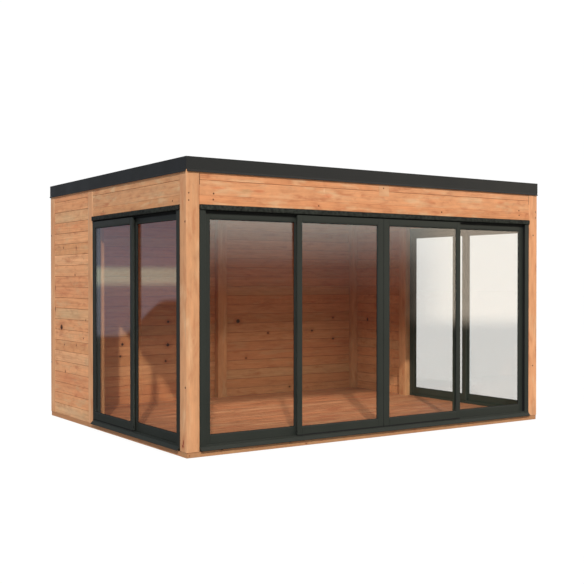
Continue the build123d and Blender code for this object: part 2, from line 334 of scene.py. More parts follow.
# --------------------------------------------------------------------------
# Wood
# --------------------------------------------------------------------------
def wood(name, tones, dark, pale, rough=0.6, knots=(), knot_share=0.08, line=0.95, ring_amp=0.10,
         figure=0.05, patch=0.40, streak=0.08, blotch=0.30, cloud=(7.0, 34.0), red=(198, 116, 76), red_amp=0.50,
         room=None, room_shade_tint=(0.76, 0.69, 0.58), heart_rgb=(92, 50, 32), marks=(), curl_scale=(26.0, 9.0, 9.0),
         ring_step=0.0058):
    """Stained softwood. tones are the board-to-board colours, dark is late wood, pale is the worn patches.
    knots are single knots as (w, d, z, radius along the grain, radius across, grain axis).
    marks are soft stains as (w, d, z, half size in w, d and z, colour, strength).
    room is (axis, value, sign): past that plane the wood is in the room and painted darker, as painted shade for the
    dimmer light indoors."""
    m, n = new_mat(name)
    gc = n.attr("gc", "Vector")
    seed = n.attr("seed", "Fac")
    groove = n.attr("groove", "Fac")
    # a few listed knots, in the frame's own coordinates
    geo = n.n("ShaderNodeNewGeometry")
    near = None
    for w, d, z, ra, rc, ax in knots:
        c = n.vec("SUBTRACT", geo.outputs["Position"], P(w, d, z))
        rr = {"x": (ra, rc, rc), "y": (rc, ra, rc), "z": (rc, rc, ra)}[ax]
        dist = n.vec("LENGTH", n.vec("MULTIPLY", c, tuple(1000.0 / x for x in rr)))
        near = dist if near is None else n.math("MINIMUM", near, dist)
    # loose knots
    cell = n.n("ShaderNodeTexVoronoi", feature="F1", voronoi_dimensions="3D")
    n.link(n.vec("MULTIPLY", gc, (2.1, 8.0, 8.0)), cell.inputs["Vector"])
    cell.inputs["Scale"].default_value = 1.0
    pick = n.n("ShaderNodeSeparateColor")
    n.link(cell.outputs["Color"], pick.inputs[0])
    chosen = n.math("LESS_THAN", pick.outputs[0], knot_share)
    size = n.map(pick.outputs[1], 0.0, 1.0, 12.0, 26.0)
    kd = n.math("MULTIPLY", cell.outputs["Distance"], size)
    kd = n.math("ADD", kd, n.math("MULTIPLY", n.math("SUBTRACT", 1.0, chosen), 10.0))
    if near is not None:
        kd = n.math("MINIMUM", kd, near)
    # rings round the pith, pulled about by slow waves and by the knots
    wob = n.noise(n.skew(n.vec("MULTIPLY", gc, (1.3, 9.0, 9.0))), 1.0, 3.0, 0.55)
    wob2 = n.noise(n.skew(n.vec("MULTIPLY", gc, (5.0, 60.0, 60.0))), 1.0, 2.0, 0.5)
    rad = n.vec("LENGTH", n.vec("MULTIPLY", gc, (0.0, 1.0, 1.0)))
    rad = n.math("ADD", rad, n.math("MULTIPLY", wob, 0.030))
    rad = n.math("ADD", rad, n.math("MULTIPLY", wob2, 0.0022))
    pull = n.map(kd, 0.0, 3.2, 0.010, 0.0, smooth=True)
    rad = n.math("ADD", rad, pull)
    fr = n.math("FRACT", n.math("DIVIDE", rad, ring_step))
    ring = n.ramp(fr, [(0.0, (0.0,) * 3), (0.45, (0.12,) * 3), (0.80, (0.95,) * 3), (0.90, (1.0,) * 3), (1.0, (0.0,) * 3)])
    fibre = n.noise(n.skew(n.vec("MULTIPLY", gc, (9.0, 520.0, 520.0))), 1.0, 3.0, 0.6)
    streaks = n.noise(n.skew(n.vec("MULTIPLY", gc, (1.6, 38.0, 38.0))), 1.0, 5.0, 0.62)
    slow = n.noise(n.skew(n.vec("MULTIPLY", gc, (1.9, 9.0, 9.0))), 1.0, 3.0, 0.55)
    mid = n.noise(n.skew(n.vec("MULTIPLY", n.vec("ADD", gc, (31.7, 4.1, 8.3)), (cloud[0], cloud[1], cloud[1]))), 1.0, 4.0, 0.58, 0.5)
    mid2 = n.noise(n.skew(n.vec("MULTIPLY", n.vec("ADD", gc, (3.1, 14.9, 2.2)), (cloud[0] * 0.6, cloud[1] * 0.8, cloud[1] * 0.8))), 1.0, 4.0, 0.58, 0.3)
    curl = n.noise(n.skew(n.vec("MULTIPLY", gc, curl_scale)), 1.0, 3.0, 0.55, 0.4)
    fancy = n.map(n.math("FRACT", n.math("MULTIPLY", seed, 23.7)), 0.55, 0.85, 0.15, 1.0)
    # colour
    k = len(tones)
    base = n.ramp(seed, [((i + 0.5) / k, t) for i, t in enumerate(tones)])
    late = n.math("MULTIPLY", ring, ring_amp)
    col = n.mix(late, base, dark)
    reds = n.math("MULTIPLY", n.map(mid, 0.50, 0.30, 0.0, red_amp, smooth=True), n.map(slow, 0.62, 0.42, 0.3, 1.0, smooth=True))
    col = n.mix(reds, col, srgb(*red))
    patches = n.math("MULTIPLY", n.map(mid2, 0.48, 0.68, 0.0, patch, smooth=True), n.map(slow, 0.40, 0.58, 0.3, 1.0, smooth=True))
    col = n.mix(patches, col, pale)
    for w, d, z, rw, rd, rz, rgb, amount in marks:
        c = n.vec("SUBTRACT", geo.outputs["Position"], P(w, d, z))
        dist = n.vec("LENGTH", n.vec("MULTIPLY", c, (1000.0 / rw, 1000.0 / rd, 1000.0 / rz)))
        dist = n.math("ADD", dist, n.math("MULTIPLY", n.math("SUBTRACT", mid, 0.5), 1.2))
        col = n.mix(n.map(dist, 1.25, 0.35, 0.0, amount, smooth=True), col, srgb(*rgb))
    tone = n.math("ADD", n.map(streaks, 0.3, 0.7, 1.0 - streak, 1.0 + streak),
                  n.math("MULTIPLY", n.map(curl, 0.35, 0.65, -figure, figure), fancy))
    tone = n.math("ADD", tone, n.map(fibre, 0.3, 0.7, -0.028, 0.028))
    tone = n.math("ADD", tone, n.math("MULTIPLY", n.math("SUBTRACT", mid, 0.5), blotch))
    grey = n.n("ShaderNodeCombineColor")
    for s in range(3):
        n.link(tone, grey.inputs[s])
    col = n.mix(1.0, col, grey.outputs[0], mode="MULTIPLY")
    halo = n.map(kd, 3.8, 1.0, 0.0, 0.40, smooth=True)
    col = n.mix(halo, col, srgb(176, 100, 62))
    heart = n.map(kd, 1.15, 0.75, 0.0, 0.95, smooth=True)
    col = n.mix(heart, col, srgb(*heart_rgb))
    core = n.map(kd, 0.55, 0.2, 0.0, 0.6, smooth=True)
    col = n.mix(core, col, srgb(48, 26, 18))
    col = n.mix(n.map(groove, 0.0, 1.0, 0.0, 0.85), col, scale3(dark, line))
    # past the room plane the colour is multiplied down: painted shade for the room
    if room is not None:
        ps = n.n("ShaderNodeSeparateXYZ")
        n.link(geo.outputs["Position"], ps.inputs[0])
        c = ps.outputs[room[0]]
        inside = n.math("GREATER_THAN" if room[2] > 0 else "LESS_THAN", c, room[1])
        room_shaded = n.mix(1.0, col, room_shade_tint, mode="MULTIPLY")
        col = n.mix(inside, col, room_shaded)
    bs = n.n("ShaderNodeBsdfPrincipled")
    n.link(col, bs.inputs["Base Color"])
    r = n.math("ADD", n.map(streaks, 0.3, 0.7, rough - 0.06, rough + 0.08), n.math("MULTIPLY", late, 0.25))
    n.link(r, bs.inputs["Roughness"])
    bs.inputs["Specular IOR Level"].default_value = 0.28
    h = n.math("ADD", n.math("MULTIPLY", ring, -0.35), n.math("MULTIPLY", fibre, 0.8))
    h = n.math("ADD", h, n.math("MULTIPLY", heart, -0.6))
    n.link(n.bump(h, 0.35, 0.0006), bs.inputs["Normal"])
    out = n.n("ShaderNodeOutputMaterial")
    n.link(bs.outputs[0], out.inputs[0])
    return m


def metal(name, base, rough=0.46, spec=0.42, grain=900.0, grain_amp=0.10, bump=0.12, blotch=0.06, dist=0.00015):
    """Powder coat: an even colour with fine orange peel and a slow change of gloss."""
    m, n = new_mat(name)
    pos = n.n("ShaderNodeNewGeometry").outputs["Position"]
    peel = n.noise(pos, grain, 2.0, 0.55)
    slow = n.noise(pos, 3.1, 3.0, 0.55)
    tone = n.math("ADD", n.map(slow, 0.3, 0.7, 1.0 - blotch, 1.0 + blotch), n.map(peel, 0.3, 0.7, -grain_amp, grain_amp))
    grey = n.n("ShaderNodeCombineColor")
    for s in range(3):
        n.link(tone, grey.inputs[s])
    # the groove value darkens the coat: it marks the stiles' V lines, and paints shade under the roof edge's drip lip,
    # along its top rim, on the head band's top and bottom curves and in the sill's track channels; it also darkens the
    # head band's ends
    groove = n.attr("groove", "Fac")
    col = n.mix(1.0, base, grey.outputs[0], mode="MULTIPLY")
    col = n.mix(n.math("MULTIPLY", groove, 0.8), col, scale3(base, 0.25))
    bs = n.n("ShaderNodeBsdfPrincipled")
    n.link(col, bs.inputs["Base Color"])
    n.link(n.map(slow, 0.3, 0.7, rough - 0.05, rough + 0.07), bs.inputs["Roughness"])
    bs.inputs["Specular IOR Level"].default_value = spec
    n.link(n.bump(peel, bump, dist), bs.inputs["Normal"])
    out = n.n("ShaderNodeOutputMaterial")
    n.link(bs.outputs[0], out.inputs[0])
    return m


def rubber(name, base, rough=0.75):
    m, n = new_mat(name)
    pos = n.n("ShaderNodeNewGeometry").outputs["Position"]
    fine = n.noise(pos, 700.0, 2.0, 0.6)
    slow = n.noise(pos, 9.0, 2.0, 0.5)
    col = n.ramp(n.math("ADD", n.math("MULTIPLY", fine, 0.4), n.math("MULTIPLY", slow, 0.6)),
                 [(0.3, scale3(base, 0.7)), (0.7, scale3(base, 1.35))])
    bs = n.n("ShaderNodeBsdfPrincipled")
    n.link(col, bs.inputs["Base Color"])
    n.link(n.map(slow, 0.3, 0.7, rough - 0.08, rough + 0.08), bs.inputs["Roughness"])
    bs.inputs["Specular IOR Level"].default_value = 0.3
    n.link(n.bump(fine, 0.3, 0.0002), bs.inputs["Normal"])
    out = n.n("ShaderNodeOutputMaterial")
    n.link(bs.outputs[0], out.inputs[0])
    return m


def glass(name, tint, ior):
    """A thin clear pane: it lets light straight through and mirrors by Fresnel."""
    m, n = new_mat(name)
    see = n.n("ShaderNodeBsdfTransparent")
    see.inputs[0].default_value = (*tint, 1.0)
    shine = n.n("ShaderNodeBsdfGlossy")
    shine.inputs["Color"].default_value = (1.0, 1.0, 1.0, 1.0)
    shine.inputs["Roughness"].default_value = 0.012
    fres = n.n("ShaderNodeFresnel")
    back = n.n("ShaderNodeNewGeometry").outputs["Backfacing"]    # both faces of the pane mirror alike
    n.link(n.math("MULTIPLY_ADD", back, 1.0 / ior - ior, ior), fres.inputs["IOR"])
    mx = n.n("ShaderNodeMixShader")
    n.link(fres.outputs[0], mx.inputs[0])
    n.link(see.outputs[0], mx.inputs[1])
    n.link(shine.outputs[0], mx.inputs[2])
    through = n.n("ShaderNodeBsdfTransparent")
    through.inputs[0].default_value = (0.975, 0.975, 0.97, 1.0)
    both = n.n("ShaderNodeMixShader")
    n.link(n.n("ShaderNodeLightPath").outputs["Is Shadow Ray"], both.inputs[0])
    n.link(mx.outputs[0], both.inputs[1])
    n.link(through.outputs[0], both.inputs[2])
    out = n.n("ShaderNodeOutputMaterial")
    n.link(both.outputs[0], out.inputs[0])
    return m


T = lambda *c: scale3(srgb(*c), 1.0)
WALL_TONES = [T(214, 152, 106), T(218, 149, 105), T(222, 156, 110), T(226, 162, 116), T(230, 170, 125), T(218, 166, 122)]
DARK = T(176, 104, 66)
PALE = T(214, 176, 134)

knots_left = [
    (2, 2802, 956, 34, 29, "y"), (2, 2984, 1369, 7, 27, "y"), (2, 2983, 1142, 8, 29, "y"), (2, 2420, 1500, 9, 8, "y"),
    (2, 2740, 1783, 7, 10, "y"), (2, 2386, 1774, 7, 12, "y"), (2, 2722, 779, 6, 10, "y"), (2, 2388, 790, 6, 10, "y"),
    (2, 2692, 502, 8, 9, "y"), (2, 2140, 1050, 8, 7, "y"), (2, 2200, 868, 7, 7, "y"),
]
marks_left = [
    (2, 2560, 1100, 60, 330, 46, (206, 176, 134), 0.45), (2, 2620, 2080, 60, 240, 44, (214, 178, 136), 0.40),
    (2, 2400, 1990, 60, 120, 30, (200, 112, 72), 0.35), (2, 2950, 1990, 60, 90, 34, (190, 108, 70), 0.35),
    (2, 2700, 1330, 60, 300, 50, (206, 122, 82), 0.30), (2, 2600, 430, 60, 340, 50, (206, 122, 82), 0.32),
    (2, 2350, 300, 60, 160, 40, (206, 122, 82), 0.30), (2, 2560, 100, 60, 320, 44, (212, 180, 142), 0.38),
    (2, 2820, 880, 60, 120, 30, (214, 150, 112), 0.30),
]
knots_post = [(0, 58, 122, 24, 9, "z"), (0, 70, 92, 12, 10, "z"), (0, 50, 90, 10, 5, "z")]
ROOM_L, ROOM_R, ROOM_B = (0, (30.0 - CX) / 1000.0, 1), (0, (W - 30.0 - CX) / 1000.0, -1), (1, (D - 30.0 - CY) / 1000.0, -1)
WALL_TONES_LEFT = [T(220, 158, 109), T(224, 155, 108), T(228, 162, 113), T(232, 168, 119), T(236, 176, 128), T(224, 172, 125)]
mat_wall = wood("wood_left_wall_boards", WALL_TONES_LEFT, DARK, PALE, knots=knots_left, knot_share=0.0, marks=marks_left, room=ROOM_L, line=0.72,
                figure=0.045, blotch=0.36, patch=0.5, cloud=(7.0, 22.0), ring_amp=0.26, ring_step=0.013, streak=0.10,
                heart_rgb=(74, 40, 27))
mat_wall_r = wood("wood_right_wall_boards", WALL_TONES, DARK, PALE, room=ROOM_R, line=0.6, heart_rgb=(58, 28, 18),
                  blotch=0.36, cloud=(9.0, 24.0), knots=[(W - 46, 2777, 950, 15, 22, "y")])
mat_back = wood("wood_back_boards", WALL_TONES, DARK, PALE, room=ROOM_B, knot_share=0.05, line=0.70, heart_rgb=(52, 26, 16),
                blotch=0.42, cloud=(5.0, 26.0), ring_amp=0.18, ring_step=0.012, knots=[
    (2300, 3064, 959, 27, 24, "x"), (2726, 3064, 803, 12, 12, "x"), (2412, 3064, 511, 10, 11, "x"),
    (3042, 3064, 128, 14, 11, "x"), (3382, 3064, 814, 15, 14, "x"), (3710, 3064, 703, 16, 14, "x"),
    (3710, 3064, 971, 13, 13, "x"), (805, 3064, 733, 15, 15, "x"), (779, 3064, 599, 13, 12, "x"),
    (1366, 3064, 707, 21, 19, "x"), (1371, 3064, 973, 16, 14, "x"), (1339, 3064, 523, 12, 13, "x"),
])
mat_frieze = wood("wood_frieze_boards", [T(221, 152, 105), T(226, 160, 112), T(223, 158, 113)], T(182, 106, 66),
                  T(224, 180, 138), figure=0.02, patch=0.72, ring_amp=0.20, ring_step=0.012, streak=0.11, blotch=0.46, cloud=(6.5, 19.0), red_amp=0.55, line=0.8, knot_share=0.0, marks=[
                      (566, 2, 2192, 60, 60, 22, (200, 156, 112), 0.55), (700, 2, 2200, 60, 60, 16, (208, 112, 70), 0.50),
                      (300, 2, 2205, 70, 60, 12, (214, 124, 78), 0.40), (1420, 2, 2200, 50, 60, 20, (212, 116, 74), 0.45),
                      (1370, 2, 2240, 6, 60, 26, (246, 206, 166), 0.6), (900, 2, 2160, 160, 60, 14, (232, 178, 134), 0.4),
                      (1900, 2, 2150, 200, 60, 14, (214, 140, 92), 0.35), (2600, 2, 2200, 120, 60, 16, (212, 128, 84), 0.35),
                      (3200, 2, 2170, 160, 60, 18, (232, 180, 138), 0.35), (3560, 2, 2230, 60, 60, 14, (206, 116, 74), 0.4),
                  ])
mat_frieze_side = wood("wood_side_frieze_boards", [T(211, 151, 104), T(216, 159, 111), T(213, 157, 112)], T(174, 105, 66),
                       T(214, 179, 138), figure=0.02, patch=0.72, ring_amp=0.20, ring_step=0.012, streak=0.11, blotch=0.50,
                       cloud=(6.5, 19.0), red_amp=0.60, line=0.8, knot_share=0.0)
POST_TONES = [T(214, 157, 113), T(210, 150, 106), T(219, 164, 121), T(213, 154, 110), T(227, 163, 117), T(229, 165, 119)]
POST_LOOK = dict(knots=knots_post, knot_share=0.0, ring_amp=0.08, patch=0.62, streak=0.075, blotch=0.50, cloud=(4.2, 14.0),
                 red=(206, 126, 82), red_amp=0.55, heart_rgb=(150, 58, 34), figure=0.018, curl_scale=(9.0, 7.0, 7.0))
mat_post = wood("wood_posts", POST_TONES, T(184, 114, 72), T(230, 188, 146), **POST_LOOK)
# copies of the post wood whose room side takes the painted room shade
mat_post_in = {side: wood("wood_posts_" + side, POST_TONES, T(184, 114, 72), T(230, 188, 146), room=plane, **POST_LOOK)
               for side, plane in (("left", ROOM_L), ("right", ROOM_R), ("back", ROOM_B))}
mat_base = wood("wood_base", [T(192, 136, 94), T(184, 133, 93)], T(130, 85, 53), T(186, 149, 110), knot_share=0.1,
                knots=[(28, 5, 20, 4, 4, "x"), (1180, 5, 16, 8, 5, "x"), (330, 5, 40, 14, 4, "x"), (1010, 5, 42, 10, 4, "x")])
mat_floor = wood("wood_floor_boards", [T(160, 103, 68), T(177, 120, 82), T(147, 92, 60), T(171, 108, 70)],
                 T(104, 54, 34), T(186, 142, 103), rough=0.5, knot_share=0.10, patch=0.55, ring_amp=0.30, streak=0.24, line=0.7,
                 blotch=0.9, cloud=(3.5, 12.0), red=(166, 82, 52), red_amp=0.70)
mat_roof = wood("wood_roof_boards", [T(198, 138, 92), T(206, 148, 102), T(192, 132, 88)], DARK, PALE, knot_share=0.10)
mat_door = metal("door_powder_coat", (0.0245, 0.0285, 0.0240), spec=0.30)
mat_edge = metal("roof_edge_coated_steel", (0.0205, 0.0210, 0.0210), rough=0.45, spec=0.26, blotch=0.03)
mat_head = metal("head_flashing_grained", (0.0185, 0.0205, 0.0165), rough=0.66, spec=0.26, grain=42.0, grain_amp=0.85,
                 bump=1.0, dist=0.0042)
mat_seal = rubber("black_seal", (0.010, 0.010, 0.010))
mat_screw = metal("screw_bronzed", (0.034, 0.010, 0.005), rough=0.85, spec=0.05, grain=1500.0)
mat_felt = metal("roof_membrane_sheet", (0.045, 0.047, 0.050), rough=0.82, spec=0.2, grain=420.0, grain_amp=0.30,
                 bump=0.5, blotch=0.12, dist=0.0006)
mat_painted_joint_shadow = rubber("joint_shadow_brown", (0.070, 0.030, 0.014))
mat_glass = glass("clear_pane", (0.946, 0.950, 0.943), 1.72)

# --------------------------------------------------------------------------
# Base, floor
# --------------------------------------------------------------------------
rng = random.Random(11)
b = Build()
for d0, d1 in ((5, 100), (D - 100, D - 5)):
    timber(b, "x", 5, W - 5, d0, d1, 0, BASE_H, rng, r=3.0, boxed=False)
b.make("base_long_timbers", mat_base, slot="frame_timber", replaces=["base_bearers_long"])
b = Build()
for w0, w1 in ((5, 100), (W - 100, W - 5)):
    timber(b, "y", 100.5, D - 100.5, w0, w1, 0, BASE_H, rng, r=3.0, boxed=False)
b.make("base_side_timbers", mat_base, slot="frame_timber", replaces=["base_bearers_short"])
JOISTS = [W / 2 + (i - 2.5) * 620.0 for i in range(6)]
b = Build()
for x in JOISTS:
    timber(b, "y", 100.5, D - 100.5, x - 22.5, x + 22.5, 0, BASE_H - 0.3, rng, r=2.0, boxed=False)
b.make("floor_joist_timbers", mat_base, slot="frame_timber", replaces=["floor_joists"])


def floor_strips(d0, d1):
    """Where one floorboard may run, cut back round the posts."""
    spans = [(54.0, W - 54.0)]
    if d1 > MID1:
        spans = [(46.0, W - 46.0)]
    cuts = []
    if d0 < POST and d1 > 0:
        cuts += [(0, POST), (W - POST, W)]
    if d1 > MID0 and d0 < MID1:
        cuts += [(0, POST), (W - POST, W)]
    if d1 > D - POST:
        cuts += [(0, POST), (W - POST, W), (BACK0, BACK1)]
    for c0, c1 in cuts:
        out = []
        for s0, s1 in spans:
            if c1 <= s0 or c0 >= s1:
                out.append((s0, s1))
                continue
            if c0 > s0:
                out.append((s0, c0 - 2.0))
            if c1 < s1:
                out.append((c1 + 2.0, s1))
        spans = out
    return spans


b = Build()
edges = [54.0]
while edges[-1] + 118.0 < 3064.0 - 40.0:
    edges.append(edges[-1] + 118.0)
edges.append(3064.0)
marks = sorted(set(edges + [POST + 1.0, MID0 - 1.0, MID1 + 1.0, D - POST - 1.0]))
for i in range(len(edges) - 1):
    e0, e1 = edges[i], edges[i + 1]
    seed, off = rng.random(), rng.uniform(0, 90000)
    pith = (rng.uniform(-30, 30), -rng.uniform(20, 70))
    inner = [m for m in marks if e0 < m < e1]
    stops = [e0] + inner + [e1]
    for q0, q1 in zip(stops[:-1], stops[1:]):
        g0 = 1.3 if q0 == e0 else 0.0
        g1 = 1.3 if q1 == e1 else 0.0
        c0 = 3.0 if q0 == e0 else 0.0
        c1 = 3.0 if q1 == e1 else 0.0
        for s0, s1 in floor_strips(q0, q1):
            sec = [(q0 + g0, 46.0), (q1 - g1, 46.0), (q1 - g1, FLOOR_TOP - c1)]
            val = [1.0 * bool(g0), 1.0 * bool(g1), 1.0 * bool(g1)]
            if c1:
                sec.append((q1 - g1 - c1, FLOOR_TOP))
                val.append(0.0)
            sec.append((q0 + g0 + c0, FLOOR_TOP))
            val.append(0.0)
            if c0:
                sec.append((q0 + g0, FLOOR_TOP - c0))
                val.append(1.0)
            # keep one place in the log for the whole board
            cp = sum(p for p, _ in sec) / len(sec)
            run(b, "x", s0, s1, sec, seed=seed, pith=((e0 + e1) / 2 - cp + pith[0], pith[1]), off=off, groove=val)
b.make("floor_boards", mat_floor, slot="floor_timber", replaces=["floor_deck"])

# --------------------------------------------------------------------------
# Posts
# --------------------------------------------------------------------------
POSTS = {
    "post_front_left": (0, POST, 0, POST, PLATE_Z1), "post_front_right": (W - POST, W, 0, POST, PLATE_Z1),
    "post_back_left": (0, POST, D - POST, D, PLATE_Z1), "post_back_right": (W - POST, W, D - POST, D, PLATE_Z1),
    "post_left_mid": (0, POST, MID0, MID1, PLATE_Z0), "post_right_mid": (W - POST, W, MID0, MID1, PLATE_Z0),
    "post_back_mid": (BACK0, BACK1, D - POST, D, PLATE_Z0),
}
for name, (w0, w1, d0, d1, top) in POSTS.items():
    b = Build()
    timber(b, "z", BASE_H + 0.5, top, w0, w1, d0, d1, rng, r=5.0, seg=4,
           seed={"post_front_left": 0.12, "post_front_right": 0.90}.get(name, rng.uniform(0.05, 0.6)))
    look = {"post_back_left": "left", "post_left_mid": "left", "post_back_right": "right", "post_right_mid": "right",
            "post_back_mid": "back"}.get(name)
    b.make(name + "_timber", mat_post_in[look] if look else mat_post, slot="frame_timber", replaces=[name], smooth=30)

# --------------------------------------------------------------------------
# Board walls
# --------------------------------------------------------------------------
COURSES = [(BASE_H + COVER * k, BASE_H + COVER * (k + 1)) for k in range(20)] + [(2265.0, PLATE_Z0)]


# which of the six wall tones each course takes, from the ground up
KINDS = [5, 2, 1, 1, 3, 4, 0, 3, 2]


def board_wall(b, axis, a0, a1, t0, t1, rng, shift=0):
    for i, (q0, q1) in enumerate(COURSES):
        wall_board(b, axis, a0, a1, t0, t1, q0, q1, rng, groove=i > 0, tongue=i < len(COURSES) - 1,
                   kind=KINDS[(i + shift) % 9])


b = Build()
board_wall(b, "y", MID1, D - POST, 2, 46, random.Random(21))
b.make("left_wall_boards", mat_wall, slot="board_timber", replaces=["left_wall_panel"])
b = Build()
board_wall(b, "y", MID1, D - POST, W - 2, W - 46, random.Random(22), shift=4)
b.make("right_wall_boards", mat_wall_r, slot="board_timber", replaces=["right_wall_panel"])
b = Build()
r3 = random.Random(23)
board_wall(b, "x", POST, BACK0, D - 2, D - 46, r3, shift=2)
board_wall(b, "x", BACK1, W - POST, D - 2, D - 46, r3, shift=7)
b.make("back_wall_boards", mat_back, slot="board_timber", replaces=["back_wall_panels"])


def frieze(b, axis, a0, a1, t0, t1, rng, stub=None):
    wall_board(b, axis, a0, a1, t0, t1, HEAD_Z1, 2142, rng, groove=False, tongue=False, gap=0.4, top_c=1.0, low_c=2.0)
    wall_board(b, axis, a0, a1, t0, t1, 2142, 2265, rng, groove=False, tongue=True, low_c=1.0, c=2.2)
    parts = [(a0, a1)] if stub is None else [(a0, stub[0] - 0.6), (stub[1] + 0.6, a1)]
    for p0, p1 in parts:
        wall_board(b, axis, p0, p1, t0, t1, 2265, PLATE_Z0, rng, groove=True, tongue=False, top_c=0.5, c=2.2)


b = Build()
frieze(b, "x", POST, W - POST, 2, 47, random.Random(31), stub=(1990.0, 2111.0))
ob = b.make("front_frieze_boards", mat_frieze, slot="board_timber", replaces=["front_frieze"])
b = Build()
frieze(b, "y", POST, MID0, 2, 47, random.Random(32))
frieze(b, "y", POST, MID0, W - 2, W - 47, random.Random(33))
b.make("side_frieze_boards", mat_frieze_side, slot="board_timber", replaces=["side_friezes"])
b = Build()
timber(b, "x", 1990.6, 2110.4, 1.2, 30, 2222, PLATE_Z0, random.Random(34), r=1.2, boxed=False, seed=0.45)
b.make("front_frieze_block", mat_post, slot="frame_timber")
# the open joint beside the post heads, drawn as dark strips: painted shadow in the joint
b = Build()
for w0, w1 in ((POST - 0.5, POST + 3.2), (W - POST - 3.2, W - POST + 0.5)):
    run(b, "z", 2226, PLATE_Z0, [(w0, 1.6), (w1, 1.6), (w1, 12.0), (w0, 12.0)], seed=0.5, groove=[1, 1, 1, 1])
b.make("post_joint_shadows", mat_painted_joint_shadow)
# dark strips between the wall boards and the posts: painted shadow in the joints
b = Build()
for d0, d1 in ((MID1 - 0.4, MID1 + 1.7), (D - POST - 1.7, D - POST + 0.4)):
    for t0, t1 in ((2.6, 20.0), (W - 20.0, W - 2.6)):
        run(b, "z", BASE_H + 1.0, PLATE_Z0 - 1.0, [(t0, d0), (t1, d0), (t1, d1), (t0, d1)])
for w0, w1 in ((POST - 0.4, POST + 1.7), (BACK0 - 1.7, BACK0 + 0.4), (BACK1 - 0.4, BACK1 + 1.7), (W - POST - 1.7, W - POST + 0.4)):
    run(b, "z", BASE_H + 1.0, PLATE_Z0 - 1.0, [(w0, D - 20.0), (w1, D - 20.0), (w1, D - 2.6), (w0, D - 2.6)])
b.make("wall_joint_shadows", mat_painted_joint_shadow)

# --------------------------------------------------------------------------
# Roof timbers, boards, membrane
# --------------------------------------------------------------------------
rng = random.Random(41)
b = Build()
for d0, d1 in ((0, 60), (D - 60, D)):
    timber(b, "x", POST + 0.5, W - POST - 0.5, d0, d1, PLATE_Z0, PLATE_Z1, rng, r=3.0, boxed=False)
b.make("top_plates_long_timber", mat_frieze, slot="frame_timber", replaces=["top_plates_long"])
b = Build()
for w0, w1 in ((0, 60), (W - 60, W)):
    timber(b, "y", POST + 0.5, D - POST - 0.5, w0, w1, PLATE_Z0, PLATE_Z1, rng, r=3.0, boxed=False)
b.make("top_plates_short_timber", mat_frieze, slot="frame_timber", replaces=["top_plates_short"])
b = Build()
for x in JOISTS:
    timber(b, "y", 60.5, D - 60.5, x - 22.5, x + 22.5, PLATE_Z0, PLATE_Z1, rng, r=3.0, boxed=False)
b.make("roof_joist_timbers", mat_roof, slot="frame_timber", replaces=["roof_joists"])
b = Build()
q = 0.0
while q < D - 1:
    e = min(q + COVER, D)
    if D - e < 30:
        e = D
    sec = [(q + 0.6, 2422.0), (e - 0.6, 2422.0), (e - 0.6, 2402.6), (e - 3.2, 2400.2), (q + 3.2, 2400.2), (q + 0.6, 2402.6)]
    run(b, "x", 0.5, W - 0.5, sec, seed=rng.random(), pith=(rng.uniform(-40, 40), rng.uniform(20, 70)),
        off=rng.uniform(0, 90000), groove=[1, 1, 1, 0, 0, 1])
    q = e
b.make("roof_deck_boards", mat_roof, slot="roof_boards", replaces=["roof_deck"])

# lapped sheets: each laps the one before it by 80 mm, with a fillet at the raised edge
b = Build()
x0, x1, y0, y1 = 46.0, W - 46.0, 46.0, D - 46.0
n_sheet = 4
wide = (x1 - x0) / n_sheet
for i in range(n_sheet):
    a, c = x0 + i * wide, x0 + (i + 1) * wide + (0 if i == n_sheet - 1 else 80.0)
    lift = 0.0
    cols = 26
    prof = []
    for s in range(cols + 1):
        w = a + (c - a) * s / cols
        z = 2425.4
        if i and w < a + 95:
            z += 2.6 * (1 - max(0.0, (w - a - 80.0)) / 15.0)
        prof.append((w, z))
    top = prof
    verts, faces = [], []
    rows = 20
    for r in range(rows + 1):
        d = y0 + (y1 - y0) * r / rows
        for w, z in top:
            ripple = 0.35 * math.sin(w * 0.021 + i) * math.sin(d * 0.013 + 2 * i)
            verts.append(P(w, d, z + ripple))
    m_ = len(top)
    for r in range(rows):
        for s in range(m_ - 1):
            faces.append((r * m_ + s, r * m_ + s + 1, (r + 1) * m_ + s + 1, (r + 1) * m_ + s))
    base_n = len(verts)
    for r in range(rows + 1):
        d = y0 + (y1 - y0) * r / rows
        for w, z in (top[0], top[-1]):
            verts.append(P(w, d, 2422.2))
    for r in range(rows):
        l0, l1 = base_n + 2 * r, base_n + 2 * (r + 1)
        faces.append((r * m_, (r + 1) * m_, l1, l0))
        faces.append((r * m_ + m_ - 1, l0 + 1, l1 + 1, (r + 1) * m_ + m_ - 1))
    faces.append(tuple([base_n] + list(range(m_)) + [base_n + 1]))
    last = rows * m_
    faces.append(tuple([base_n + 2 * rows + 1] + [last + s for s in reversed(range(m_))] + [base_n + 2 * rows]))
    b.add(verts, faces, seed=0.1 * i)
for (ax, a0, a1, t, s) in (("x", x0, x1, y0, 1), ("x", x0, x1, y1, -1), ("y", y0, y1, x0, 1), ("y", y0, y1, x1, -1)):
    sec = [(t, 2424.0), (t, 2444.0), (t + s * 2.0, 2444.0), (t + s * 6.0, 2436.0), (t + s * 16.0, 2429.0), (t + s * 34.0, 2427.6), (t + s * 34.0, 2425.0)]
    run(b, ax, a0, a1, sec)
b.make("roof_membrane_sheets", mat_felt, slot="roof_membrane", replaces=["roof_membrane"], smooth=35)

